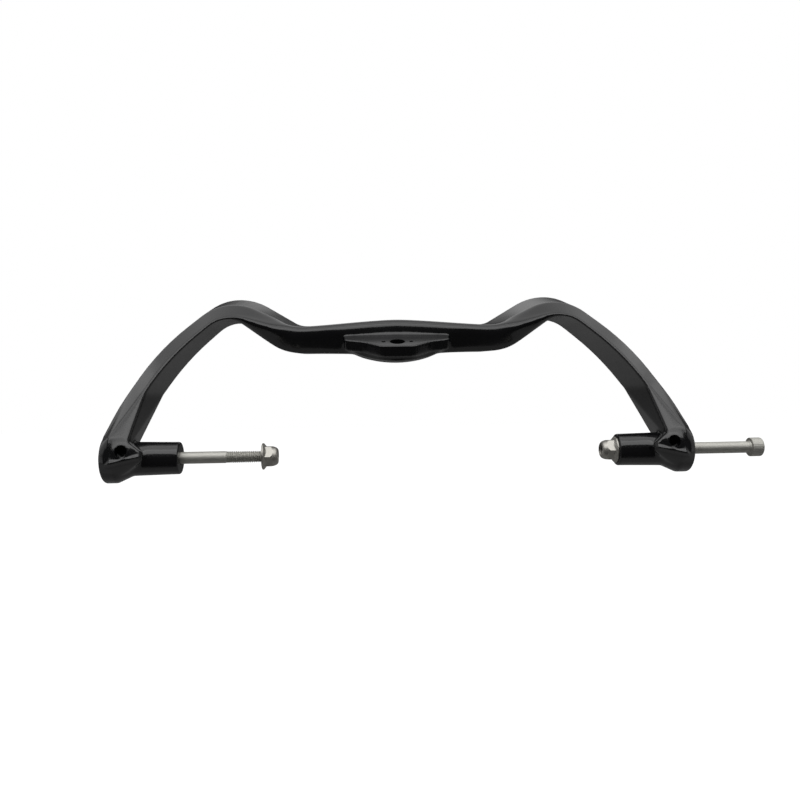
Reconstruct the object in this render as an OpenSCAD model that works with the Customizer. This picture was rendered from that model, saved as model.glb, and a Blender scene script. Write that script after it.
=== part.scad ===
// Motorcycle grab rail: one casting with two bolted feet, and the screws and nuts that fix it.
// X runs across the machine, Y to the rear and Z up. The origin is midway between the two bosses,
// on the line through both bolts.

/* [Feet] */
// Clear distance between the inner faces of the two bosses
boss_span = 294.6; // [280:0.2:310]
// Diameter of a boss at its inner face
boss_d = 21.6; // [20:0.2:24]
// Diameter of a boss where its collar starts
boss_root_d = 22.8; // [22:0.2:25]
// Distance from a boss's inner face to the start of its collar
boss_len = 31; // [28:0.5:32]
// Diameter of the collar around the bolt head
collar_d = 32; // [30:0.2:35]
// Length of the cone from the boss to the collar
flare_len = 10; // [8:0.5:11]
// Distance from a boss's inner face to the outermost point of its foot
foot_len = 51.6; // [49:0.2:55]
// How far the rim of the collar lies behind that outermost point
dome = 2.2; // [1:0.2:4]
// Bevel on the outer edge of the collar
collar_bevel = 1.2; // [0.6:0.2:2]
// Chamfer on the inner end of a boss
boss_chamfer = 0.7; // [0.3:0.1:1.5]

/* [Bolts] */
// Nominal diameter of the screws
thread_d = 8; // [6:1:8]
// Length of the screws under the head
bolt_len = 100; // [95:1:110]
// Diameter of the screw heads
head_d = 13; // [11:0.5:13]
// Height of the screw heads
head_h = 8; // [6:0.5:8]
// Width across the flats of the hexagon socket
socket_af = 6; // [4:0.5:6]
// Depth of the hexagon socket
socket_depth = 4; // [3:0.5:5]
// Bevel at the tip of the thread and at the rim of the head
bolt_bevel = 0.8; // [0.4:0.1:1.2]
// Distance from a boss's inner face to the seat of the bolt head
seat_depth = 35.8; // [30:0.2:38]
// Clearance around the shank in its bore, on the diameter
bore_clearance = 1; // [0.6:0.1:1.4]
// Clearance around the head in its counterbore, on the diameter
head_clearance = 2; // [1:0.25:3]
// How far the right screw is drawn out of its seat
right_drawn = 58; // [0:1:58]

/* [Nuts] */
// Width of the nuts across the flats
nut_af = 13; // [11:0.5:13]
// Whole height of the nuts
nut_h = 10.5; // [8:0.5:12]
// Diameter of the nuts' flange
flange_d = 17.9; // [16:0.1:20]
// Thickness of the flange at its rim
flange_rim = 1.2; // [0.8:0.1:2]
// Height at which the flange's cone meets the hexagon
flange_h = 2.8; // [2:0.1:3.5]
// Height of the round locking collar at the end of the nut
lock_h = 1.6; // [1:0.1:2.5]
// Clearance of the nut on the screw, on the diameter
nut_clearance = 0.16; // [0.1:0.02:0.3]
// How far the left nut stands from its boss
left_nut_gap = 54; // [10:1:54]

/* [Accessory holes] */
// Diameter of the blind hole in the front of each foot
hole_d = 7.8; // [6:0.2:8.6]
// Depth of the hole
hole_depth = 9; // [6:0.5:9.5]
// Diameter of the raised rim around the hole
hole_rim_d = 10.8; // [10:0.2:11.4]
// Height of the raised rim
hole_rim_h = 0.8; // [0.4:0.1:1.2]
// Height of the hole above the bolt line
hole_up = 6.2; // [5:0.2:8]
// Distance of the hole from the boss's inner face
hole_in = 33.8; // [32:0.2:35]
// How far the face around the hole stands in front of the bolt line
pad_front = 18.6; // [17:0.2:20]
// Backward lean of that face
pad_lean = 17; // [8:1:24]
// Distance from the hole to the outer edge of that face
pad_out = 8.5; // [7:0.5:10]
// Height above the hole at which the outer edge turns inwards
pad_turn = 2; // [0:0.5:4]
// Distance from the hole to the outer end of the lower edge
pad_toe = 7; // [5:0.5:8]
// Distance from the hole to the inner end of that face
pad_in = 11; // [8:0.5:12]
// Distance from the hole to the top of that face
pad_high = 9; // [7:0.5:12]
// Distance from the hole to the bottom of that face
pad_low = 8.2; // [7:0.2:9]
// Distance from the hole down to the inner end of the lower edge
pad_heel = 4.2; // [3:0.2:6]
// Depth of the bevelled edge around that face
pad_bevel = 4; // [2:0.5:5]
// Growth of the foot's outline over the bevelled edge
pad_flare = 1.2; // [1.1:0.05:1.3]
// Height up the leg at which the ramp from that face meets the leg
ramp_up = 42; // [34:1:48]
// How far the ramp starts on the inner side of the hole
ramp_in = 3; // [0:0.5:4]

/* [Rail path] */
// Distance from a boss's inner face to the middle of the leg's lower end
leg_in = 42.4; // [41:0.1:44]
// Height of the lower ends of the legs
foot_up = 12; // [8:0.5:14]
// How far a leg's corner lies inside its lower end
knee_in = 15; // [11:0.5:20]
// Height of the corners of the legs
knee_up = 61.5; // [56:0.5:66]
// Radius that rounds the corners of the legs
knee_r = 144; // [60:1:150]
// How far the corner of a hump lies inside the leg's corner
crest_in = 50; // [46:0.5:56]
// Height of the corners of the humps
crest_up = 109; // [106:0.5:112]
// Radius that rounds the humps
crest_r = 26; // [18:0.5:28]
// How far the end of the bar lies inside the corner of the hump
dip_in = 47; // [42:0.5:50]
// Height of the corners beside the middle bar
dip_up = 81.2; // [78:0.1:84]
// Radius that rounds the corners beside the middle bar
dip_r = 32; // [24:1:36]
// Height of the middle of the bar
bar_up = 83.6; // [81:0.1:88]
// Radius of the middle of the bar
bar_r = 300; // [150:10:400]

/* [Rail section] */
// Slope of the legs to the rear, as a run for each unit of height
lean = 0.61; // [0.5:0.01:0.7]
// How far the front ridge lies before the bolt line at the height of that line
ridge_front = 24; // [20:0.5:28]
// Thickness of the legs
leg_t = 12.8; // [9:0.2:14]
// Thickness of the legs where they enter the feet
foot_t = 14.8; // [11:0.2:16]
// Thickness of the humps
crest_t = 12.4; // [11:0.2:16]
// Thickness of the bar at its ends
dip_t = 19.2; // [16:0.2:21]
// Thickness of the bar at its middle
bar_t = 26; // [22:0.2:28]
// Depth of the legs from front ridge to back
leg_depth = 52; // [44:1:58]
// Depth of the legs where they enter the feet
root_depth = 31; // [30:1:40]
// Depth of the humps
crest_depth = 64; // [54:1:68]
// Depth of the bar at its ends
dip_depth = 68; // [58:1:72]
// Depth of the bar
bar_depth = 49; // [42:1:58]
// Slant of the front face of the legs, from the ridge to the outer edge
leg_slant = 14.5; // [8:0.5:18]
// Slant of the front face of the legs where they enter the feet
foot_slant = 8; // [4:0.5:12]
// Slant of the front face of the humps
crest_slant = 18.5; // [12:0.5:20]
// Slant of the front face at the ends of the bar
dip_slant = 11; // [6:0.5:14]
// Slant of the front face of the bar
bar_slant = 9; // [6:0.5:12]
// Extra height of the humps at their back
crest_crown = 10.5; // [0:0.5:12]
// Extra height of the back at the ends of the bar
dip_crown = 6.5; // [0:0.5:9]
// How far the front of the legs is set back where they enter the feet
foot_setback = 2; // [2:0.5:6]
// How far the ends of the bar are set back from the slope of the legs
dip_setback = 13.5; // [8:0.5:20]
// How far the bar is set back from the slope of the legs
bar_setback = 19; // [10:0.5:26]
// Height of the bar's front ridge below its top, as a part of its thickness
bar_ridge = 0.26; // [0.2:0.01:0.5]
// Undercut of the bar's front below its ridge
bar_undercut = 8; // [4:0.5:12]
// How far the inner face of the legs spreads towards the back
leg_draft = 1; // [0:0.5:4]
// How far the inner face of the legs spreads towards the back where they enter the feet
foot_draft = 3; // [0:0.5:6]
// How far the underside of the bar rises towards the back
bar_rise = 3; // [0:0.5:5]
// Radius of the crisp front edges
edge_r = 1.2; // [0.6:0.1:2]
// Radius of the bar's rounded front
nose_r = 5; // [2:0.5:7]
// Radius of the back edges
back_r = 5; // [2:0.25:5.5]

/* [Tab] */
// How far the tab's nose stands in front of the bar
nose_reach = 25; // [18:0.5:32]
// Height of the middle of the bar above the top of the nose
nose_drop = 9.1; // [7:0.1:14]
// Width of the nose
nose_w = 24; // [20:1:28]
// Radius of the nose's corners
nose_corner_r = 7; // [3:0.5:10]
// Distance from the nose to the shoulders
shoulder_back = 10; // [9:0.5:14]
// Width of the tab between its shoulders
shoulder_w = 48; // [44:1:54]
// Radius of the shoulders
shoulder_r = 12; // [6:1:16]
// Width of the tab at its root
tab_w = 77; // [70:1:86]
// Radius of the corners of the root
root_r = 4.5; // [2:0.5:6]
// Distance from the shoulders to the full width of the root
root_back = 5; // [3:0.5:8]
// Distance from the shoulders to the back of the root, inside the bar
root_len = 31; // [26:1:36]
// Slope of the tab's top face, down to the front
tab_slope = 22; // [16:1:26]
// Thickness of the tab
tab_t = 8; // [6:0.5:10]
// How far the rib reaches below the tab's top face
rib_h = 21; // [16:0.5:26]
// Radius of the rib under the tab
rib_r = 72; // [50:1:90]
// Height of the middle of the bar above the rib's lowest line
rib_drop = 19.6; // [17:0.2:23]
// How far the rib's wall lies inside the edge of the tab
rib_in = 1.5; // [1:0.5:3]
// Diameter of the tab's middle hole
tab_hole_d = 11; // [8:0.5:13]
// Diameter of the two small holes beside it
pin_hole_d = 3; // [2:0.25:4]
// Distance of the small holes from the middle
pin_hole_out = 10; // [9:0.5:12]
// Depth of the holes in the tab
tab_hole_depth = 5; // [3:0.5:6]

/* [Hidden] */
$fn = 64;
overlap = 0.01;
past = 1;
path_step = 5;
corner_steps = 10;
edge_steps = 3;
black_paint = [0.07, 0.07, 0.08];
zinc_grey = [0.62, 0.61, 0.58];
zinc_bright = [0.80, 0.79, 0.76];
boss_in = boss_span / 2;
foot_end = boss_in + foot_len;
bore_d = thread_d + bore_clearance;
sink_d = head_d + head_clearance;
seat_x = boss_in + seat_depth;
collar_x = boss_in + boss_len + flare_len;
rim_x = foot_end - dome;
collar_inset = 0.5;
sink_land = 1;
pad_skin = 0.5;
hole_x = boss_in + hole_in;
tab_len = shoulder_back + root_len;
foot_out = boss_in + leg_in;
knee_out = foot_out - knee_in;
crest_out = knee_out - crest_in;
dip_out = crest_out - dip_in;
bar_front = lean * bar_up - ridge_front + bar_setback;
nose_y = bar_front - nose_reach;
nose_up = bar_up - nose_drop;
rib_low = bar_up - rib_drop;
// The rail's corners from the right foot to the left one, each with its radius
half_path = [[foot_out, foot_up, 0], [knee_out, knee_up, knee_r], [crest_out, crest_up, crest_r],
    [dip_out, dip_up, dip_r]];
corners = concat(half_path, [[0, bar_up, bar_r]],
    [for (i = [len(half_path) - 1:-1:0]) [-half_path[i].x, half_path[i].y, half_path[i].z]]);

function unit(v) = v / norm(v);
function flat(p) = [p.x, p.y];

// Points that round the corner b between a and c with a radius
function rounded(a, b, c, r, steps) =
    let (u = unit(a - b), v = unit(c - b), half = acos(u * v) / 2,
        centre = b + unit(u + v) * r / sin(half),
        p = b + u * r / tan(half) - centre, q = b + v * r / tan(half) - centre,
        start = atan2(p.y, p.x), turn = atan2(p.x * q.y - p.y * q.x, p * q))
    [for (k = [0:steps]) centre + r * [cos(start + turn * k / steps), sin(start + turn * k / steps)]];

// A closed outline with each corner [x, y, radius] rounded
function rounded_outline(points, steps) =
    let (n = len(points))
    [for (i = [0:n - 1]) each rounded(flat(points[(i + n - 1) % n]), flat(points[i]),
        flat(points[(i + 1) % n]), points[i].z, steps)];

// Extra points so that no step of an open line is longer than the path step
function filled(line) =
    [for (i = [0:len(line) - 2]) let (n = ceil(norm(line[i + 1] - line[i]) / path_step))
        for (k = [0:n - 1]) line[i] + (line[i + 1] - line[i]) * k / n];

// The length that a corner's radius takes from the straight lines beside it
function reach(i) = (i == 0 || i == len(corners) - 1) ? 0
    : let (u = unit(flat(corners[i - 1] - corners[i])), v = unit(flat(corners[i + 1] - corners[i])))
    corners[i].z / tan(acos(u * v) / 2);

// A corner's radius, made smaller where it and the next one would not fit on the line between them
function fitted_r(i) = corners[i].z * min([1, for (k = [i - 1, i])
    norm(flat(corners[k + 1] - corners[k])) / (reach(k) + reach(k + 1) + overlap)]);

// The middle line of the rail in the XZ plane
path = let (n = len(corners) - 1,
        bends = [for (i = [1:n - 1]) each rounded(flat(corners[i - 1]), flat(corners[i]),
            flat(corners[i + 1]), fitted_r(i), corner_steps)])
    concat(filled(concat([flat(corners[0])], bends, [flat(corners[n])])), [flat(corners[n])]);

// A value eased along the rail between the bar's middle, its ends, the humps, the knees and the feet
function along(x, bar, dip, crest, knee, foot) =
    let (at = [0, dip_out, crest_out, knee_out, foot_out], v = [bar, dip, crest, knee, foot],
        i = max([for (k = [0:3]) if (abs(x) >= at[k] || k == 0) k]),
        f = min(1, (abs(x) - at[i]) / (at[i + 1] - at[i])))
    v[i] + (v[i + 1] - v[i]) * f * f * (3 - 2 * f);

// The rail's cross-section at a point of its path, as [outward, rearward] points
function section(p) =
    let (t = along(p.x, bar_t, dip_t, crest_t, leg_t, foot_t),
        ridge = lean * p.y - ridge_front + along(p.x, bar_setback, dip_setback, 0, 0, foot_setback),
        slant = along(p.x, bar_slant, dip_slant, crest_slant, leg_slant, foot_slant),
        back = ridge + along(p.x, bar_depth, dip_depth, crest_depth, leg_depth, root_depth),
        draft = along(p.x, -bar_rise, -bar_rise, -bar_rise, leg_draft, foot_draft),
        crown = along(p.x, 0, dip_crown, crest_crown, 0, 0),
        drop = along(p.x, bar_t * bar_ridge, dip_t * bar_ridge, crest_t - edge_r, leg_t - edge_r,
            foot_t - edge_r),
        under = along(p.x, bar_undercut, bar_undercut, edge_r, edge_r, edge_r),
        nose = along(p.x, nose_r, nose_r, edge_r, edge_r, edge_r) / 2)
    rounded_outline([[t / 2, ridge + slant, edge_r], [t / 2 - drop, ridge, nose],
        [-t / 2, ridge + under, edge_r / 2], [-t / 2 - draft, back, back_r],
        [t / 2 + crown, back, back_r]], edge_steps);

// The section's points set square across the path
function ring(i) =
    let (a = path[max(0, i - 1)], b = path[min(len(path) - 1, i + 1)], u = unit(b - a), p = path[i])
    [for (q = section(p)) [p.x + u.y * q.x, q.y, p.y - u.x * q.x]];

// A closed skin over a row of rings
module loft(rings) {
    n = len(rings[0]);
    last = len(rings) - 1;
    sides = [for (i = [0:last - 1], k = [0:n - 1]) let (a = i * n + k, b = i * n + (k + 1) % n)
        each [[a, b, b + n], [a, b + n, a + n]]];
    ends = [[for (k = [n - 1:-1:0]) k], [for (k = [0:n - 1]) last * n + k]];
    polyhedron([for (r = rings) each r], concat(sides, ends));
}

module strap() {
    loft([for (i = [0:len(path) - 1]) ring(i)]);
}

// Places its children on the bolt line, along X from the middle to the right
module on_bolt_line() {
    rotate([0, 90, 0]) children();
}

// The boss, its flare and the domed collar of the right foot, turned about the bolt line
module foot_turned() {
    on_bolt_line() rotate_extrude() polygon([[0, boss_in], [boss_d / 2 - boss_chamfer, boss_in],
        [boss_d / 2, boss_in + boss_chamfer], [boss_root_d / 2, boss_in + boss_len],
        [collar_d / 2, collar_x], [collar_d / 2, rim_x - collar_bevel],
        [collar_d / 2 - collar_bevel, rim_x], [sink_d / 2 + sink_land, foot_end], [0, foot_end]]);
}

// The face around the right foot's accessory hole, seen from the front with the hole at the origin
module pad_face() {
    polygon([[0, pad_high], [pad_out, pad_high], [pad_out, pad_turn], [pad_toe, -pad_low],
        [-pad_in, -pad_heel], [-pad_in, 0]]);
}

// A disc just inside the collar, for the bodies that grow out of it
module collar_core() {
    on_bolt_line() translate([0, 0, collar_x + collar_inset])
        cylinder(h = rim_x - collar_x - 2 * collar_inset, d = collar_d - 2 * collar_inset, $fn = 32);
}

// The body that joins that face to the collar behind it, and the rim around the hole
module pad() {
    hull() {
        on_hole(pad_front - pad_skin) linear_extrude(pad_skin) pad_face();
        on_hole(pad_front - pad_bevel) linear_extrude(pad_skin) scale(pad_flare) pad_face();
        collar_core();
    }
    on_hole(pad_front - pad_skin)
        cylinder(h = pad_skin + hole_rim_h, d1 = hole_rim_d + 2 * pad_skin, d2 = hole_rim_d - hole_rim_h);
}

// The ramp from the upper part of that face to the front of the leg
module ramp() {
    i = min([for (k = [0:len(path) - 1]) if (path[k].y >= ramp_up) k]);
    hull() {
        loft([ring(i), ring(i + 1)]);
        on_hole(pad_front - pad_skin) linear_extrude(pad_skin) intersection() {
            pad_face();
            translate([-ramp_in, 0]) square([ramp_in + pad_out, pad_high]);
        }
        collar_core();
    }
}

// Places its children on the right foot's accessory hole, at a distance in front of the bolt line
module on_hole(front) {
    translate([hole_x, -pad_front, hole_up]) rotate([90 - pad_lean, 0, 0])
        translate([0, 0, front - pad_front]) children();
}

module foot_bores() {
    on_bolt_line() translate([0, 0, boss_in - past])
        cylinder(h = seat_depth + 2 * past, d = bore_d);
    on_bolt_line() translate([0, 0, seat_x])
        cylinder(h = foot_end - seat_x + past, d = sink_d);
    on_hole(pad_front - hole_depth) cylinder(h = hole_depth + hole_rim_h + past, d = hole_d);
}

// Puts its children in the plane of the tab's top face, with the nose's middle at the origin
module on_tab() {
    translate([0, nose_y, nose_up]) rotate([tab_slope, 0, 0]) children();
}

// The tab's outline from above, this far inside its edge
function tab_outline(inset) =
    let (half = [[nose_w / 2 - inset / 2, inset, nose_corner_r],
        [shoulder_w / 2 - inset, shoulder_back + inset, shoulder_r],
        [tab_w / 2 - inset, shoulder_back + root_back + inset, root_r], [tab_w / 2 - inset, tab_len, root_r]])
    rounded_outline(concat(half, [for (i = [len(half) - 1:-1:0]) [-half[i].x, half[i].y, half[i].z]]), 4);

module tab() {
    on_tab() translate([0, 0, -tab_t]) linear_extrude(tab_t) polygon(tab_outline(0));
    intersection() {
        on_tab() translate([0, 0, -rib_h]) linear_extrude(rib_h - past) polygon(tab_outline(rib_in));
        translate([0, nose_y, rib_low + rib_r]) rotate([-90, 0, 0]) cylinder(h = tab_len, r = rib_r);
    }
}

module tab_holes() {
    on_tab() translate([0, shoulder_back, -tab_hole_depth]) {
        cylinder(h = tab_hole_depth + past, d = tab_hole_d);
        for (s = [-1, 1]) translate([s * pin_hole_out, 0, 0])
            cylinder(h = tab_hole_depth + past, d = pin_hole_d);
    }
}

module both_feet() {
    children();
    mirror([1, 0, 0]) children();
}

module rail() {
    color(black_paint) difference() {
        union() {
            strap();
            tab();
            both_feet() {
                foot_turned();
                pad();
                ramp();
            }
        }
        both_feet() foot_bores();
        tab_holes();
    }
}

// A screw along Z with its seat at the origin, its tip below and its head above
module bolt() {
    color(zinc_grey) difference() {
        union() {
            translate([0, 0, -bolt_len])
                cylinder(h = bolt_bevel, d1 = thread_d - 2 * bolt_bevel, d2 = thread_d);
            translate([0, 0, bolt_bevel - bolt_len])
                cylinder(h = bolt_len - bolt_bevel + overlap, d = thread_d);
            cylinder(h = head_h - bolt_bevel, d = head_d);
            translate([0, 0, head_h - bolt_bevel])
                cylinder(h = bolt_bevel, d1 = head_d, d2 = head_d - 2 * bolt_bevel);
        }
        translate([0, 0, head_h - socket_depth])
            cylinder(h = socket_depth + past, d = socket_af / cos(30), $fn = 6);
    }
}

// A flange nut along Z with its flange's face at the origin
module nut() {
    color(zinc_bright) difference() {
        union() {
            cylinder(h = flange_rim, d = flange_d);
            translate([0, 0, flange_rim]) cylinder(h = flange_h - flange_rim, d1 = flange_d, d2 = nut_af);
            cylinder(h = nut_h - lock_h, d = nut_af / cos(30), $fn = 6);
            translate([0, 0, nut_h - lock_h]) cylinder(h = lock_h, d1 = nut_af, d2 = nut_af - 2 * lock_h);
        }
        translate([0, 0, -past]) cylinder(h = nut_h + 2 * past, d = thread_d + nut_clearance);
    }
}

module right_bolt() {
    on_bolt_line() translate([0, 0, seat_x + right_drawn]) bolt();
}

module left_bolt() {
    mirror([1, 0, 0]) on_bolt_line() translate([0, 0, seat_x]) bolt();
}

module right_nut() {
    on_bolt_line() translate([0, 0, boss_in]) mirror([0, 0, 1]) nut();
}

module left_nut() {
    mirror([1, 0, 0]) on_bolt_line() translate([0, 0, boss_in - left_nut_gap]) mirror([0, 0, 1]) nut();
}

rail();
left_bolt();
right_bolt();
left_nut();
right_nut();
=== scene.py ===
# %% [markdown]
# # A cast motorcycle grab rail
#
# The rail is one aluminium casting, painted black, with two long socket screws and two flange nuts
# in its feet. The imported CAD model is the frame: every piece below sits where its solid sits, in
# metres, with the origin midway between the two feet, X across, Y to the rear and Z up.

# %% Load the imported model
import math

import bmesh
import bpy
import numpy as np
from mathutils import Matrix, Vector


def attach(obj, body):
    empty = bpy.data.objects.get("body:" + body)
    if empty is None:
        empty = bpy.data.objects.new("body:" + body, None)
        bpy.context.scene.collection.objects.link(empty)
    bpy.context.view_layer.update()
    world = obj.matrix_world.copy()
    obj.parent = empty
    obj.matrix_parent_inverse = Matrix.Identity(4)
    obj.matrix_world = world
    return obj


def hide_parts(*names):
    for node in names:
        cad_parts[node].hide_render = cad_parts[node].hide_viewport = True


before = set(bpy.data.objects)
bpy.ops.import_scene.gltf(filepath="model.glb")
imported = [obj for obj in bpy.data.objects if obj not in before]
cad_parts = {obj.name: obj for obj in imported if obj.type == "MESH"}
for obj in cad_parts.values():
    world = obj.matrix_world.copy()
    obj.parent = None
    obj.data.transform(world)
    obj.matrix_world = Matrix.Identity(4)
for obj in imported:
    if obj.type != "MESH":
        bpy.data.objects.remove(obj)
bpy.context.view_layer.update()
MM = 0.001

# %% [markdown]
# ## The camera
#
# The photograph was taken from close by, at the height of the rail, a little left of its middle. A
# camera helper could frame the part, but the view would then be any view. Here the place, the turn
# and the focal length were solved from the two boss faces, the holes and the crests of the humps,
# so the camera is written as those few numbers.

# %% Camera
PICTURE_PX = 800
FOCAL_PX = 769
SENSOR_MM = 36
CAMERA_AT_MM = (-25.56, -520.0, 36.35)
TURN_RIGHT, ROLL = math.radians(2.779), math.radians(0.919)

camera_data = bpy.data.cameras.new("photo_camera")
camera_data.sensor_width = SENSOR_MM
camera_data.lens = SENSOR_MM * FOCAL_PX / PICTURE_PX
camera = bpy.data.objects.new("photo_camera", camera_data)
bpy.context.scene.collection.objects.link(camera)

camera.matrix_world = (
    Matrix.Translation(Vector(CAMERA_AT_MM) * MM)
    @ Matrix.Rotation(-TURN_RIGHT, 4, "Z")
    @ Matrix.Rotation(math.radians(90), 4, "X")
    @ Matrix.Rotation(-ROLL, 4, "Z")
)
bpy.context.scene.camera = camera
print("lens", round(camera_data.lens, 2), "mm")

# %% [markdown]
# ## From numbers to a mesh
#
# A turned piece is a surface of two parameters: the angle round its axis and the step along its
# profile. numpy works out all the points at once as a grid, and the grid's faces follow from the
# row and column numbers alone. Rows that end on the axis close there in a pole, so the doubled
# points are merged at the end.


# %% Grids and meshes
MERGE_M = 1e-6


def mesh_object(name, points, faces):
    """A mesh object of these points, in millimetres, and faces. Doubled points are merged."""
    mesh = bpy.data.meshes.new(name)
    mesh.from_pydata((np.asarray(points) * MM).tolist(), [], np.asarray(faces).tolist())
    work = bmesh.new()
    work.from_mesh(mesh)
    bmesh.ops.remove_doubles(work, verts=work.verts, dist=MERGE_M)
    bmesh.ops.recalc_face_normals(work, faces=work.faces)
    work.to_mesh(mesh)
    work.free()
    piece = bpy.data.objects.new(name, mesh)
    bpy.context.scene.collection.objects.link(piece)
    return piece


def grid_faces(rows, columns):
    """Quads of a grid whose columns close on themselves: each joins a point, the next one round
    and the same two in the next row."""
    row, column = np.meshgrid(np.arange(rows - 1), np.arange(columns), indexing="ij")
    after = (column + 1) % columns
    quads = [row * columns + column, row * columns + after,
             (row + 1) * columns + after, (row + 1) * columns + column]
    return np.stack(quads, axis=-1).reshape(-1, 4)


def turned_points(radius, height, place):
    """Points of a turned surface. radius is (rows, columns) in millimetres, height one per row.
    Point = (radius cos angle, radius sin angle, height), then moved by the 4 x 4 matrix place."""
    columns = radius.shape[1]
    angle = np.linspace(0, 2 * np.pi, columns, endpoint=False)
    z = np.broadcast_to(height[:, None], radius.shape)
    points = np.stack([radius * np.cos(angle), radius * np.sin(angle), z, np.ones_like(z)], axis=-1)
    return (points.reshape(-1, 4) @ np.array(place).T)[:, :3]


def smooth(piece, degrees):
    """Smooth shading, broken where faces meet at more than this angle."""
    for other in bpy.context.selected_objects:
        other.select_set(False)
    piece.select_set(True)
    bpy.context.view_layer.objects.active = piece
    bpy.ops.object.shade_smooth_by_angle(angle=math.radians(degrees))


print("grid of 3 rows and 6 columns:", len(grid_faces(3, 6)), "quads")

# %% [markdown]
# ## The holes of the casting
#
# The casting is remade below from a copy of its solid, and the remaking would leave the holes
# ragged. So the holes are kept apart as plain numbers: each is plugged before the casting is
# softened and drilled again, sharp and round, after it, as a real foundry does with a casting.

# %% Drill list
BOSS_IN, SEAT_DEPTH, FOOT_LEN = 147.3, 35.8, 51.6  # lengths and radii in mm, as in the CAD
BOLT_R, HEAD_R = 4.5, 7.5
PAD_X, PAD_Y, PAD_Z = 181.1, -18.6, 6.2
PAD_RIM, PAD_HOLE_R, PAD_HOLE_DEPTH = 0.8, 3.9, 9.8
TAB_HOLE_R, PIN_HOLE_R, PIN_X, TAB_HOLE_DEPTH = 5.5, 1.5, 10, 5
TAB_SLOPE, PAD_LEAN = math.radians(22), math.radians(17)

tab_top = Vector((0, 30.27, 78.25))
into_tab = Vector((0, math.sin(TAB_SLOPE), -math.cos(TAB_SLOPE)))
into_pad = Vector((0, math.cos(PAD_LEAN), -math.sin(PAD_LEAN)))
pad_mouth = Vector((PAD_X, PAD_Y, PAD_Z)) - PAD_RIM * into_pad


def placed(x, y, z, aim):
    """A matrix that turns the local Z axis to aim and moves the origin to a point, in mm."""
    turn = Vector((0, 0, 1)).rotation_difference(Vector(aim)).to_matrix().to_4x4()
    return Matrix.Translation((x, y, z)) @ turn


bolt_bore = [(0, BOLT_R), (SEAT_DEPTH, BOLT_R), (SEAT_DEPTH, HEAD_R), (FOOT_LEN, HEAD_R)]
pad_hole = [(0, PAD_HOLE_R), (PAD_HOLE_DEPTH, PAD_HOLE_R)]
pin_hole = [(0, PIN_HOLE_R), (TAB_HOLE_DEPTH, PIN_HOLE_R)]
tab_hole = [(0, TAB_HOLE_R), (TAB_HOLE_DEPTH, TAB_HOLE_R)]
holes = []  # the mouth's place, the (depth, radius) steps, and whether the hole goes right through
for side in (-1, 1):
    holes.append((placed(side * BOSS_IN, 0, 0, (side, 0, 0)), bolt_bore, True))
    holes.append((placed(side * pad_mouth.x, *pad_mouth.yz, into_pad), pad_hole, False))
    holes.append((placed(side * PIN_X, *tab_top.yz, into_tab), pin_hole, False))
holes.append((placed(*tab_top, into_tab), tab_hole, False))
print(len(holes), "holes")

# %% [markdown]
# Each hole becomes a closed turned body, which serves twice: with a larger radius it is the plug,
# and with longer ends it is the drill.


# %% Hole bodies
HOLE_SIDES = 64


def hole_solid(place, steps, before, after, grow):
    """A closed turned body: the hole's steps with every radius larger by grow, longer by before at
    the mouth and by after at the other end, and a pole at each end."""
    height = np.array([steps[0]] + steps + [steps[-1]])[:, 0].astype(float)
    height[:2] -= before
    height[-2:] += after
    radius = np.array([0] + [r + grow for _, r in steps] + [0.0])
    rows = radius[:, None] * np.ones((1, HOLE_SIDES))
    return turned_points(rows, height, place), grid_faces(len(rows), HOLE_SIDES)


def joined(solids, name):
    """One mesh object of several closed grids, with the face numbers shifted past each other."""
    starts = np.cumsum([0] + [len(points) for points, _ in solids[:-1]])
    points = np.concatenate([points for points, _ in solids])
    faces = np.concatenate([faces + start for start, (_, faces) in zip(starts, solids)])
    return mesh_object(name, points, faces)


print(len(holes) * HOLE_SIDES, "sides in all")

# %% [markdown]
# ## The casting
#
# The solid has the true section and path, but its pieces meet at sharp inner corners, and a sand or
# die casting never does: the pattern maker runs a fillet of about 3 mm into every inner corner so
# that the metal flows and the corner doesn't crack. Bevels can't reach these corners, because they
# run where two free-form surfaces cross. So the copy is remeshed to an even skin, and each inner
# corner is filled by a flow: a point that lies lower than the mean of its neighbours rises to it.
# Outer edges lie higher than their neighbours, so the flow leaves them as sharp as they are cast.


# %% Casting skin
def merged_copy(node, name):
    """A copy of a CAD node's mesh with its loose triangles merged."""
    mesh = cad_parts[node].data.copy()
    work = bmesh.new()
    work.from_mesh(mesh)
    bmesh.ops.remove_doubles(work, verts=work.verts, dist=MERGE_M)
    work.to_mesh(mesh)
    work.free()
    mesh.materials.clear()
    piece = bpy.data.objects.new(name, mesh)
    bpy.context.scene.collection.objects.link(piece)
    return piece


def apply_modifier(piece, kind, **settings):
    """Adds a modifier, keeps its result as the piece's own mesh and takes the modifier off."""
    modifier = piece.modifiers.new(kind.lower(), kind)
    for key, value in settings.items():
        setattr(modifier, key, value)
    depsgraph = bpy.context.evaluated_depsgraph_get()
    result = bpy.data.meshes.new_from_object(piece.evaluated_get(depsgraph))
    piece.modifiers.clear()
    piece.data = result


def take_in(piece, other):
    """Adds another object's mesh to a piece and removes that object."""
    work = bmesh.new()
    work.from_mesh(piece.data)
    work.from_mesh(other.data)
    bpy.data.objects.remove(other)
    work.to_mesh(piece.data)
    work.free()


VOXEL_MM = 0.6
PLUG_GROW = 0.35  # a plug reaches this far into the metal, so that the remeshing closes the hole

rail = merged_copy("rail", "rail_casting")
plugs = []
for place, steps, through in holes:
    plugs.append(hole_solid(place, steps, 0, 0 if through else PLUG_GROW, PLUG_GROW))
take_in(rail, joined(plugs, "plugs"))
apply_modifier(rail, "REMESH", mode="VOXEL", voxel_size=VOXEL_MM * MM, adaptivity=0)
print("skin of", len(rail.data.vertices), "points")

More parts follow.
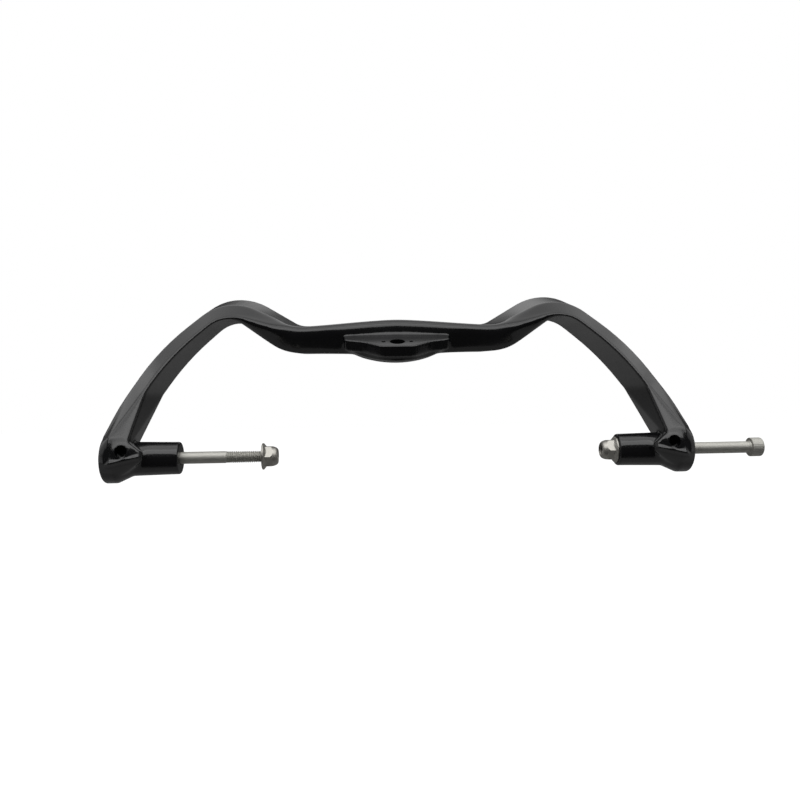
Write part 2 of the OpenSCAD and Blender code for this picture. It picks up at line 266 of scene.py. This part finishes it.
# %% [markdown]
# The flow works on the whole skin at once. Each edge gives its two ends to each other, so a count
# over the edges gives every point the mean of its neighbours. Before and after the fillets, a few
# steps of smoothing, in and out by turns so that nothing shrinks, take off the steps of the voxels.


# %% Flow over the skin
STEP, STEP_BACK = 0.5, -0.52
LEAST_SHARE = 0.002
FIRST_STEPS, FILLET_STEPS, LAST_STEPS = 6, 40, 8


def read(collection, key, width, kind):
    """An attribute of a mesh's points or edges as an array of this many columns."""
    values = np.empty(len(collection) * width, dtype=kind)
    collection.foreach_get(key, values)
    return values.reshape(-1, width)


def write(mesh, points):
    """Puts points, in metres, back into a mesh."""
    mesh.vertices.foreach_set("co", points.astype(np.float32).ravel())
    mesh.update()


def ramp_up(value, low, high):
    """0 below low, 1 above high, and the smooth cubic 3t2 - 2t3 between them."""
    t = np.clip((value - low) / (high - low), 0, 1)
    return t * t * (3 - 2 * t)


def flow(mesh, steps, share, rising=False):
    """Moves each point by its own share of the way to its neighbours' mean, once for each of the
    steps, which are factors of the share. Rising points move along their normal, only outwards."""
    points = read(mesh.vertices, "co", 3, np.float32).astype(float)
    edges = read(mesh.edges, "vertices", 2, np.int32)
    chosen = np.flatnonzero(share > LEAST_SHARE)
    number = np.full(len(points), -1)
    number[chosen] = np.arange(len(chosen))
    ends, others = np.concatenate([edges, edges[:, ::-1]]).T
    ends, others = number[ends[number[ends] >= 0]], others[number[ends] >= 0]
    count = np.bincount(ends, minlength=len(chosen))[:, None]
    for step in steps:
        around = points[others]
        sums = [np.bincount(ends, around[:, axis], len(chosen)) for axis in range(3)]
        move = step * share[chosen, None] * (np.stack(sums, axis=1) / count - points[chosen])
        if rising:
            normals = read(mesh.vertex_normals, "vector", 3, np.float32)[chosen]
            move = np.maximum((move * normals).sum(axis=1), 0)[:, None] * normals
        points[chosen] += move
        if rising:
            write(mesh, points)
    write(mesh, points)


whole = np.ones(len(rail.data.vertices))
flow(rail.data, [STEP, STEP_BACK] * FIRST_STEPS, whole)
flow(rail.data, [STEP] * FILLET_STEPS, whole, rising=True)
flow(rail.data, [STEP, STEP_BACK] * LAST_STEPS, whole)
print("fillets on", len(whole), "points")

# %% [markdown]
# The casting isn't equally soft everywhere. The bar's upper edge is a round and its dips are full,
# the legs keep a crisp ridge, and the machined bosses stay true. A bevel modifier gives all edges
# one kind of round. So here the bar's bevel and the dips are first moved out a little, and then
# every region has its own share of the flow, written as smooth steps of the place in millimetres.
# The faces of one region are told apart by their normals.

# %% Soft and crisp regions
BEVEL_BULGE_MM, DIP_BULGE_MM = 2.4, 3.0
BEVEL_OUT = np.array([0, -0.8, 0.6])
FRONT_STEPS, EDGE_STEPS = 150, 60

points = read(rail.data.vertices, "co", 3, np.float32) / MM
normals = read(rail.data.vertex_normals, "vector", 3, np.float32)
x, y, z = np.abs(points[:, 0]), points[:, 1], points[:, 2]

bevel = (1 - ramp_up(x, 76, 92)) * ramp_up(z, 85, 87) * ramp_up(-normals[:, 1], 0.2, 0.35)
bevel *= ramp_up(normals[:, 2], 0.6, 0.8)
points += BEVEL_BULGE_MM * bevel[:, None] * BEVEL_OUT
dip = ramp_up(x, 78, 92) * (1 - ramp_up(x, 104, 122)) * ramp_up(-normals[:, 1], 0.5, 0.8)
points[:, 1] -= DIP_BULGE_MM * dip * ramp_up(z, 80, 90)
write(rail.data, points * MM)

on_tab = (1 - ramp_up(x, 42, 48)) * (1 - ramp_up(y, 44, 49)) * (1 - ramp_up(z, 85, 88))
bar_front = (1 - ramp_up(x, 78, 125)) * ramp_up(-normals[:, 1], 0.05, 0.45) * (1 - on_tab)
flow(rail.data, [STEP] * FRONT_STEPS, bar_front)

boss = ramp_up(x, 140, 145) * (1 - ramp_up(np.hypot(y, z), 13, 16))
ramp = ramp_up(x, 160, 170) * ramp_up(z, 16, 22) * (1 - ramp_up(z, 40, 55))
foot = ramp_up(x, 165, 172) * (1 - ramp_up(z, 14, 20))
leg = ramp_up(x, 80, 125)
softness = (0.08 + 0.05 * leg + 0.25 * ramp) * (1 - boss) * (1 - 0.6 * foot)
flow(rail.data, [STEP] * EDGE_STEPS, softness)
print("bar front:", int((bar_front > 0.5).sum()), "points")

# %% [markdown]
# Along the lower edge of the face around each accessory hole runs a low bead, which catches the
# light as a thin bright band. A swept tube would sit on the face like a wire, so the skin itself is
# moved: the lower half of the face goes in a little, and the bead is what stays out. The lower edge
# is a straight line that climbs inwards, and the bead is a bell curve of the distance from it.

# %% Lip of the pads
BEAD_MM, BEAD_HALF_MM, BEAD_OVER_EDGE, FACE_IN_MM = 0.9, 1.3, 0.2, 0.7
EDGE_OUT, EDGE_DROP, EDGE_UP, EDGE_RUN, EDGE_COS = 7, 8.2, 4, 18, 0.976

points = read(rail.data.vertices, "co", 3, np.float32) / MM
out = np.abs(points[:, 0]) - pad_mouth.x
above, behind = points[:, 2] - PAD_Z, points[:, 1] - PAD_Y
rise = above * math.cos(PAD_LEAN) + behind * math.sin(PAD_LEAN)
ahead = above * math.sin(PAD_LEAN) - behind * math.cos(PAD_LEAN)
over_lower_edge = EDGE_COS * (rise + EDGE_DROP - (EDGE_OUT - out) * EDGE_UP / EDGE_RUN)
inside = ramp_up(out, -14, -9) * (1 - ramp_up(out, 8.5, 12)) * (1 - ramp_up(rise, -4, 6))
inside *= ramp_up(over_lower_edge, -5, -1) * ramp_up(ahead, -5, -2)
bead = np.exp(-((over_lower_edge - BEAD_OVER_EDGE) / BEAD_HALF_MM) ** 2)
depth = inside * (FACE_IN_MM - BEAD_MM * bead)
points += depth[:, None] * np.array(into_pad)
write(rail.data, points * MM)
print("lip on", int((inside > 0.1).sum()), "points")

# %% [markdown]
# Last, the skin is thinned to what its curvature needs, and the holes are drilled back in.

# %% Drilled casting
MOST_TRIANGLES = 170000
DRILL_PAST = 3
CAST_ANGLE = 42

triangles = 2 * len(rail.data.vertices)
apply_modifier(rail, "DECIMATE", ratio=min(1, MOST_TRIANGLES / triangles))
drills = []
for place, steps, through in holes:
    drills.append(hole_solid(place, steps, DRILL_PAST, DRILL_PAST * through, 0))
drill = joined(drills, "drill")
apply_modifier(rail, "BOOLEAN", operation="DIFFERENCE", solver="MANIFOLD", object=drill)
bpy.data.objects.remove(drill)
smooth(rail, CAST_ANGLE)
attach(rail, "root")
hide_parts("rail")
print("casting of", sum(len(f.vertices) - 2 for f in rail.data.polygons), "triangles")

# %% [markdown]
# ## The socket screws
#
# Each foot holds a zinc-plated M8 socket screw, 100 mm long under the head. Blender's screw
# modifier could wind a thread, but the thread would be a loose sheet on the shank. As one grid of
# angle and height, the screw is a single closed skin: the radius follows the profile, the thread
# takes a groove from it that climbs one pitch per turn, and the head has its knurl and its socket.
# The thread and the hexagon come first, because the nuts use them too.


# %% Thread and hexagon
PITCH = 1.25


def groove(angle, height):
    """Depth of a metric thread, from 0 on the crest to 1 in the root: a triangle wave of height and
    turns, cut off at an eighth of the pitch on the crest and a quarter at the root."""
    turns = height[:, None] / PITCH - angle / (2 * np.pi)
    wave = np.abs(2 * (turns - np.floor(turns)) - 1)
    return np.clip((1 - wave - 0.125) / 0.625, 0, 1)


def hexagon(angle, across_flats):
    """Radius of a hexagon: half the width over the cosine of the angle from the nearest flat."""
    off = (angle + np.pi / 6) % (np.pi / 3) - np.pi / 6
    return 0.5 * across_flats / np.cos(off)


def rows_between(*stations):
    """Heights and radii from (height, radius, rows) stations, each count leading to the next."""
    pairs, last = list(zip(stations, stations[1:])), stations[-1]
    height = [np.linspace(a[0], b[0], a[2], endpoint=False) for a, b in pairs]
    radius = [np.linspace(a[1], b[1], a[2], endpoint=False) for a, b in pairs]
    return np.append(np.concatenate(height), last[0]), np.append(np.concatenate(radius), last[1])


print("M8 thread,", PITCH, "mm for each turn")

# %% [markdown]
# The stations of a profile say where it bends and how many rows lead on from there: many along the
# thread, where the radius changes all the time, and one or two along a plain stretch.


# %% Screws
COLUMNS = 144
TURNED_ANGLE = 35
THREAD_DEPTH, KNURL_DEPTH, KNURL_TEETH, SOCKET_FLATS = 0.72, 0.16, 36, 6
RIGHT_DRAWN = 58  # the right screw is pulled out of its foot by this much


def screw(name, place):
    """A socket screw with its head seat at height 0 and its tip at height -100. Radius = profile
    - thread groove - knurl (a cosine of the angle), then the hexagon socket down to a pole."""
    angle = np.linspace(0, 2 * np.pi, COLUMNS, endpoint=False)
    height, radius = rows_between(
        (-100, 0, 1), (-100, 3.0, 1), (-99.2, 3.85, 320), (-66, 4.0, 3), (-64.5, 4.0, 4),
        (-0.8, 4.0, 1), (-0.3, 4.1, 1), (0, 4.4, 1), (0, 6.2, 1), (0.25, 6.45, 1), (0.6, 6.5, 12),
        (7.0, 6.5, 1), (7.55, 6.3, 1), (7.9, 5.9, 1), (8, 5.5, 2), (8, 3.75, 1))
    thread = np.clip((-65 - height) / 2, 0, 1) * np.clip((height + 100) / 0.8, 0, 1)
    outside = radius[:, None] - THREAD_DEPTH * thread[:, None] * groove(angle, height)
    knurl = np.where((height > 0.5) & (height < 7.1), KNURL_DEPTH, 0)[:, None]
    outside -= knurl * (0.5 - 0.5 * np.cos(KNURL_TEETH * angle))
    wall = hexagon(angle, SOCKET_FLATS)
    socket = np.stack([np.maximum(wall, 3.45), wall, wall, 0.97 * wall, 0.4 * wall, 0 * wall])
    height = np.append(height, [7.85, 7.6, 4.2, 4.0, 3.4, 3.1])
    outside = np.concatenate([outside, socket])
    points = turned_points(outside, height, place)
    piece = mesh_object(name, points, grid_faces(len(height), COLUMNS))
    smooth(piece, TURNED_ANGLE)
    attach(piece, "root")
    return piece


seat = BOSS_IN + SEAT_DEPTH
left_screw = screw("left_screw", placed(-seat, 0, 0, (-1, 0, 0)))
right_screw = screw("right_screw", placed(seat + RIGHT_DRAWN, 0, 0, (1, 0, 0)))
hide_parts("left_bolt")
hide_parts("right_bolt")

# %% [markdown]
# ## The flange nuts
#
# A flange nut is a hexagon that grows out of a washer. Its outside is the larger of two surfaces,
# the cone of the flange and the hexagon whose corners a turned chamfer takes off, so the grid only
# needs the larger and the smaller of three radii. The grid then turns over the locking collar and
# goes down through the bore, which carries its own thread.


# %% Nuts
NUT_FLATS, BORE_THREAD, LEFT_NUT_X = 13, 0.45, 93.3


def flange_nut(name, place):
    """A flange nut standing on height 0: outside max(flange cone, min(hexagon, chamfer)), then the
    locking collar, the bore with its thread and the face that rests on the boss."""
    angle = np.linspace(0, 2 * np.pi, COLUMNS, endpoint=False)
    height, flange = rows_between(
        (0, 8.5, 1), (0.12, 8.75, 1), (0.35, 8.92, 1), (0.6, 8.95, 1), (0.95, 8.9, 1),
        (1.2, 8.7, 4), (2.6, 7.0, 3), (3.4, 6.3, 2), (4.6, 5.6, 3), (5.8, 4, 12), (8.4, 4, 6),
        (10.3, 4, 1), (10.5, 4, 1))
    chamfer = np.interp(height, [5.8, 7.6, 8.6, 9.6, 10.2, 10.5], [7.6, 6.5, 6.2, 5.7, 5.1, 4.6])
    outside = np.maximum(flange[:, None], np.minimum(hexagon(angle, NUT_FLATS), chamfer[:, None]))
    top_height, top_radius = np.array([10.5]), np.array([4.4])
    bore_height, bore_radius = rows_between(
        (10.1, 4.08, 84), (0.5, 4.08, 1), (0, 4.5, 1), (0, 8.5, 1))
    ease = np.clip((10 - bore_height) / 0.6, 0, 1) * np.clip((bore_height - 0.5) / 0.6, 0, 1)
    bore = bore_radius[:, None] + BORE_THREAD * ease[:, None] * groove(angle, bore_height)
    around = np.ones((1, COLUMNS))
    surface = np.concatenate([outside, top_radius[:, None] * around, bore])
    heights = np.concatenate([height, top_height, bore_height])
    points = turned_points(surface, heights, place)
    piece = mesh_object(name, points, grid_faces(len(heights), COLUMNS))
    smooth(piece, TURNED_ANGLE)
    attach(piece, "root")
    return piece


left_nut = flange_nut("left_flange_nut", placed(-LEFT_NUT_X, 0, 0, (1, 0, 0)))
right_nut = flange_nut("right_flange_nut", placed(BOSS_IN, 0, 0, (-1, 0, 0)))
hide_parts("left_nut")
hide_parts("right_nut")

# %% [markdown]
# ## Materials
#
# A colour given as a hex code is in sRGB, but a shader counts in linear light, so one function
# turns the one into the other. A second one adds a node with its values and its links in a single
# call.


# %% Nodes
def linear(code):
    """An sRGB hex colour as a linear RGBA tuple."""
    rgb = []
    for start in (1, 3, 5):
        c = int(code[start:start + 2], 16) / 255
        rgb.append(c / 12.92 if c <= 0.04045 else ((c + 0.055) / 1.055) ** 2.4)
    return (*rgb, 1.0)


def add(tree, kind, settings, links=()):
    """Adds a node. settings are properties by name or inputs by name or number; links are pairs of
    an input and the output socket that feeds it."""
    node = tree.nodes.new(kind)
    for key, value in settings.items():
        if isinstance(key, str) and hasattr(node, key):
            setattr(node, key, value)
        else:
            node.inputs[key].default_value = value
    for key, source in links:
        tree.links.new(source, node.inputs[key])
    return node


def new_material(name):
    """An empty node material and its tree."""
    material = bpy.data.materials.new(name)
    material.use_nodes = True
    material.node_tree.nodes.clear()
    return material, material.node_tree


print("middle grey #808080 is", round(linear("#808080")[0], 3), "in linear light")

# %% [markdown]
# The casting is painted black, half glossy. The eye reads such paint by its slightly uneven gloss:
# the film flows out into a shallow orange peel, and the casting's own grain shows through it. One
# even colour would look like moulded plastic, so tone and roughness drift over some centimetres.

# %% Paint
PEEL_MM, GRAIN_MM, PATCH_MM = 1.8, 0.6, 35
PEEL_DEEP_MM, GRAIN_DEEP_MM = 0.1, 0.03
paint, tree = new_material("satin_black_paint_on_cast_aluminium")
place = add(tree, "ShaderNodeTexCoord", {})
peel = add(tree, "ShaderNodeTexNoise",
           {"Scale": 1 / (PEEL_MM * MM), "Detail": 2.0, "Roughness": 0.4},
           [("Vector", place.outputs["Object"])])
grain = add(tree, "ShaderNodeTexNoise", {"Scale": 1 / (GRAIN_MM * MM), "Detail": 2.0},
            [("Vector", place.outputs["Object"])])
patch = add(tree, "ShaderNodeTexNoise", {"Scale": 1 / (PATCH_MM * MM), "Detail": 3.0},
            [("Vector", place.outputs["Object"])])
tone = add(tree, "ShaderNodeMix",
           {"data_type": "RGBA", 6: linear("#09090a"), 7: linear("#0f0f11")},
           [(0, patch.outputs[0])])
gloss = add(tree, "ShaderNodeMapRange",
            {"From Min": 0.3, "From Max": 0.7, "To Min": 0.15, "To Max": 0.21},
            [("Value", patch.outputs[0])])
coarse = add(tree, "ShaderNodeBump", {"Strength": 0.10, "Distance": PEEL_DEEP_MM * MM},
             [("Height", peel.outputs[0])])
fine = add(tree, "ShaderNodeBump", {"Strength": 0.06, "Distance": GRAIN_DEEP_MM * MM},
           [("Height", grain.outputs[0]), ("Normal", coarse.outputs[0])])
skin = add(tree, "ShaderNodeBsdfPrincipled", {"IOR": 1.5},
           [("Base Color", tone.outputs[2]), ("Roughness", gloss.outputs[0]),
            ("Normal", fine.outputs[0])])
add(tree, "ShaderNodeOutputMaterial", {}, [("Surface", skin.outputs[0])])
rail.data.materials.clear()
rail.data.materials.append(paint)
print(paint.name)

# %% [markdown]
# Screws and nuts are steel, plated with zinc. The plate follows every turned ring under it, so the
# highlight breaks into fine rings round the axis, and it is blotched where the bath left it uneven.
# The screws are dull and pale, the nuts darker but smoother, so that their facets tell apart.


# %% Zinc
BLOTCH_MM, RING_DEEP_MM = 4, 0.02
ROUND_SCALE = 60  # so low that a ring hardly changes on its way round the axis


def zinc_plate(name, dark, light, low, high, ring_mm):
    """Zinc on turned steel: rings along X, ring_mm apart, and blotches between two tones, dark and
    light, and between two roughnesses, low and high."""
    material, tree = new_material(name)
    place = add(tree, "ShaderNodeTexCoord", {})
    along = add(tree, "ShaderNodeMapping",
                {"Scale": (1 / (ring_mm * MM), ROUND_SCALE, ROUND_SCALE)},
                [("Vector", place.outputs["Object"])])
    rings = add(tree, "ShaderNodeTexNoise", {"Scale": 1.0, "Detail": 2.0},
                [("Vector", along.outputs[0])])
    cloud = add(tree, "ShaderNodeTexNoise", {"Scale": 1 / (BLOTCH_MM * MM), "Detail": 3.0},
                [("Vector", place.outputs["Object"])])
    tone = add(tree, "ShaderNodeMix", {"data_type": "RGBA", 6: linear(dark), 7: linear(light)},
               [(0, cloud.outputs[0])])
    gloss = add(tree, "ShaderNodeMapRange", {"To Min": low, "To Max": high},
                [("Value", cloud.outputs[0])])
    bump = add(tree, "ShaderNodeBump", {"Strength": 0.12, "Distance": RING_DEEP_MM * MM},
               [("Height", rings.outputs[0])])
    plate = add(tree, "ShaderNodeBsdfPrincipled", {"Metallic": 1.0},
                [("Base Color", tone.outputs[2]), ("Roughness", gloss.outputs[0]),
                 ("Normal", bump.outputs[0])])
    add(tree, "ShaderNodeOutputMaterial", {}, [("Surface", plate.outputs[0])])
    return material


screw_zinc = zinc_plate("zinc_plated_steel_turned", "#a6a5a0", "#b8b7b1", 0.55, 0.68, 0.25)
nut_zinc = zinc_plate(
    "bright_zinc_plated_steel_forged", "#95938e", "#adaba5", 0.38, 0.54, 0.4)
for piece in (left_screw, right_screw):
    piece.data.materials.append(screw_zinc)
for piece in (left_nut, right_nut):
    piece.data.materials.append(nut_zinc)
print(screw_zinc.name, nut_zinc.name)

# %% [markdown]
# ## Light, background and floor
#
# A black part shows only what it mirrors, so the light draws its shape: a tall soft panel above the
# camera draws the bosses and the edges that face forward, a dimmer one overhead draws the tops, and
# one at each side draws the legs. Point lamps would give such paint nothing but small white dots.


# %% Lamps
PART = (0, 0, 0.05)  # what the panels above are aimed at, in metres
PART_BACK = (0, 0.05, 0.05)  # what the panels at the sides are aimed at


def panel(name, place, aim, width, height, watts):
    """A soft rectangular lamp at place, aimed at a point, both in metres."""
    data = bpy.data.lights.new(name, "AREA")
    data.shape = "RECTANGLE"
    data.size, data.size_y, data.energy = width, height, watts
    lamp = bpy.data.objects.new(name, data)
    bpy.context.scene.collection.objects.link(lamp)
    lamp.location = place
    lamp.rotation_euler = (Vector(aim) - Vector(place)).to_track_quat("-Z", "Y").to_euler()
    lamp.visible_camera = False


panel("front_panel", (0, -1.07, 1.32), PART, 4.2, 1.15, 37)
panel("overhead_panel", (0, -0.10, 1.75), PART, 4.2, 1.0, 15)
panel("left_panel", (-1.45, 0.40, 0.42), PART_BACK, 1.4, 1.25, 3.0)
panel("right_panel", (1.45, 0.40, 0.42), PART_BACK, 1.4, 1.25, 2.1)
print(len(bpy.data.lights), "panels")

# %% [markdown]
# The room is white to the camera only. What the paint mirrors of it is dark at the horizon and pale
# higher up, a little lower down at the back. The dark gives the edges their outline; a room that is
# white all round would lay a grey veil over the paint.


# %% World
def white_to_camera(tree):
    """The kind of ray, and a value that is 1 for the rays that see the white background."""
    ray = add(tree, "ShaderNodeLightPath", {})
    seen = add(tree, "ShaderNodeMath", {"operation": "MAXIMUM"},
               [(0, ray.outputs["Is Camera Ray"]), (1, ray.outputs["Is Transmission Ray"])])
    return ray, seen


UP_AND_BACK = (0, 0.3, 1.0)
world = bpy.data.worlds.new("white_room")
bpy.context.scene.world = world
world.use_nodes = True
tree = world.node_tree
tree.nodes.clear()
ray, seen = white_to_camera(tree)
toward = add(tree, "ShaderNodeTexCoord", {})
slope = add(tree, "ShaderNodeVectorMath", {"operation": "DOT_PRODUCT", 1: UP_AND_BACK},
            [(0, toward.outputs["Generated"])])
backdrop = add(tree, "ShaderNodeMapRange",
               {"interpolation_type": "SMOOTHSTEP", "From Min": 0.58, "From Max": 0.69,
                "To Min": 0.05, "To Max": 0.64}, [("Value", slope.outputs["Value"])])
# Mirrored in full by glossy rays, and at 0.6 of that as diffuse light.
spread = add(tree, "ShaderNodeMath", {"operation": "MULTIPLY_ADD", 1: 0.4, 2: 0.6},
             [(0, ray.outputs["Is Glossy Ray"])])
mirrored = add(tree, "ShaderNodeMath", {"operation": "MULTIPLY"},
               [(0, spread.outputs[0]), (1, backdrop.outputs[0])])
level = add(tree, "ShaderNodeMath", {"operation": "MAXIMUM"},
            [(0, seen.outputs[0]), (1, mirrored.outputs[0])])
sky = add(tree, "ShaderNodeBackground", {"Color": (1, 1, 1, 1)}, [("Strength", level.outputs[0])])
add(tree, "ShaderNodeOutputWorld", {}, [("Surface", sky.outputs[0])])
print(world.name)

# %% [markdown]
# The floor is matt paper under the part. To the camera it also glows white, a little less near the
# part, so that the part's soft shadow stays on it. It begins a little before the part, because a
# floor that ran on to the camera would lie mirrored in the fronts, which are nearly black.

# %% Floor
FLOOR_Z, FLOOR_FRONT, FLOOR_BACK, FLOOR_SIDE = -0.30, -0.18, 9.0, 9.0
UNDER_PART = (0, 0.04, FLOOR_Z)
corners = [(-FLOOR_SIDE, FLOOR_FRONT, FLOOR_Z), (FLOOR_SIDE, FLOOR_FRONT, FLOOR_Z),
           (FLOOR_SIDE, FLOOR_BACK, FLOOR_Z), (-FLOOR_SIDE, FLOOR_BACK, FLOOR_Z)]
floor_mesh = bpy.data.meshes.new("floor")
floor_mesh.from_pydata(corners, [], [(0, 1, 2, 3)])
floor = bpy.data.objects.new("floor", floor_mesh)
bpy.context.scene.collection.objects.link(floor)
white, tree = new_material("white_paper_floor")
_, seen = white_to_camera(tree)
paper = add(tree, "ShaderNodeBsdfDiffuse", {"Color": linear("#959595")})
spot = add(tree, "ShaderNodeTexCoord", {})
from_part = add(tree, "ShaderNodeVectorMath", {"operation": "DISTANCE", 1: UNDER_PART},
                [(0, spot.outputs["Object"])])
clear = add(tree, "ShaderNodeMapRange",
            {"From Min": 0.0, "From Max": 0.3, "To Min": 0.72, "To Max": 1.0},
            [("Value", from_part.outputs["Value"])])
paleness = add(tree, "ShaderNodeMath", {"operation": "MULTIPLY"},
               [(0, seen.outputs[0]), (1, clear.outputs[0])])
glow = add(tree, "ShaderNodeEmission", {"Color": (1, 1, 1, 1)},
           [("Strength", paleness.outputs[0])])
both = add(tree, "ShaderNodeAddShader", {}, [(0, paper.outputs[0]), (1, glow.outputs[0])])
add(tree, "ShaderNodeOutputMaterial", {}, [("Surface", both.outputs[0])])
floor_mesh.materials.append(white)
bpy.context.scene.view_settings.view_transform = "Standard"
print("floor at", FLOOR_Z, "m")
